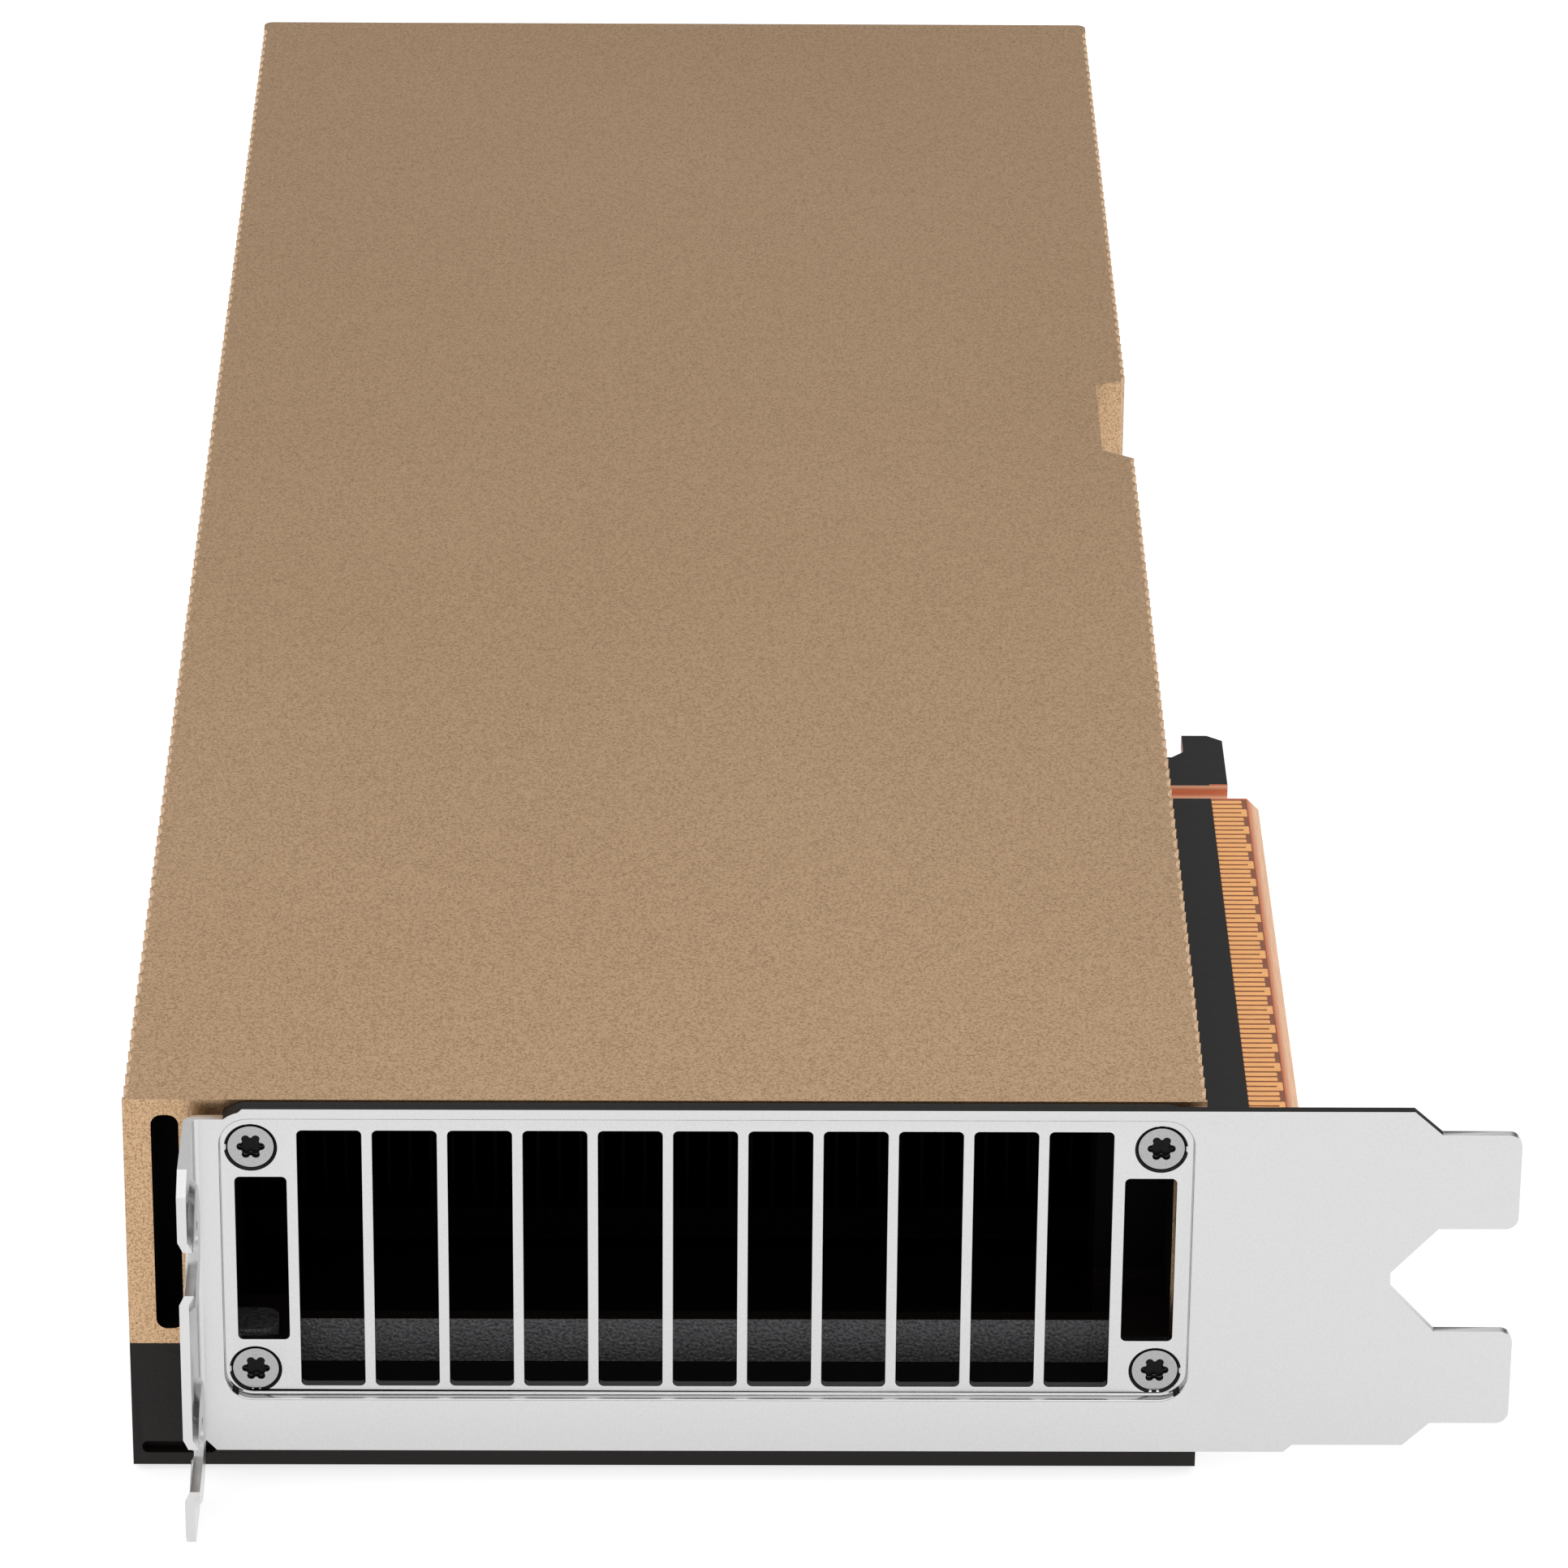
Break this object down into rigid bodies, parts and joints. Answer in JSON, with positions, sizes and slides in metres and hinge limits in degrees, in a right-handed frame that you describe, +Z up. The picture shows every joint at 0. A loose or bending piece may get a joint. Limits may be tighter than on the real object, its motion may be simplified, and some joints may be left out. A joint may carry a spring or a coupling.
{
  "type": "passive accelerator card",
  "caption": "Two-slot passive accelerator card: fluted gold shroud over a black frame, finned cooler, vented slot bracket and an edge connector.",
  "frame": {"origin": "centre of the body's underside", "axes": "+Z up through the card, -Y towards the slot bracket, +X towards the edge connector"},
  "size_m": [0.1256, 0.2792, 0.0388],
  "materials": {
    "gold_anodised": "gold bead-blasted anodising, satin",
    "black_casting": "black e-coat, satin",
    "black_plate": "black anodising, satin",
    "nickel_steel": "bright nickel plate, fine grain",
    "screw_steel": "nickel plate, bright",
    "spring_steel": "plain, satin",
    "board_laminate": "black solder mask, semi-gloss",
    "contact_gold": "hard gold on copper",
    "insulator_film": "black film",
    "package_laminate": "green laminate",
    "silicon": "polished silicon",
    "nickel_copper": "nickel-plated copper, satin",
    "black_fin": "black anodising, dull",
    "thermal_pad": "soft grey pad",
    "inductor_core": "pressed iron powder",
    "chip_plastic": "moulded epoxy",
    "capacitor_can": "drawn can",
    "ceramic_chip": "fired ceramic",
    "connector_plastic": "moulded nylon",
    "pin_tin": "tin plate"
  },
  "bodies": {
    "root": {"top_shroud": "gold_anodised", "base_frame": "black_casting", "backplate": "black_plate", "corner_screws": "screw_steel", "backplate_screws": "screw_steel", "board_standoffs": "screw_steel", "backplate_insulator": "insulator_film", "circuit_board": "board_laminate", "upper_contacts": "contact_gold", "lower_contacts": "contact_gold", "package_substrate": "package_laminate", "processor_die": "silicon", "memory_stacks": "silicon", "package_ring": "nickel_copper", "thermal_interface": "thermal_pad", "vapour_chamber": "black_fin", "fin_stack": "black_fin", "cooler_posts": "screw_steel", "retention_spring": "spring_steel", "retention_screws": "screw_steel", "frame_thermal_pads": "thermal_pad", "inductors": "inductor_core", "inductor_thermal_pads": "thermal_pad", "power_stages": "chip_plastic", "stage_thermal_pads": "thermal_pad", "bulk_capacitors": "capacitor_can", "ceramic_capacitors": "ceramic_chip", "power_controllers": "chip_plastic", "firmware_chip": "chip_plastic", "clock_crystal": "nickel_copper", "power_inlet": "connector_plastic", "power_pins": "pin_tin", "bracket": "nickel_steel", "bracket_screws": "screw_steel"}
  },
  "joints": []
}
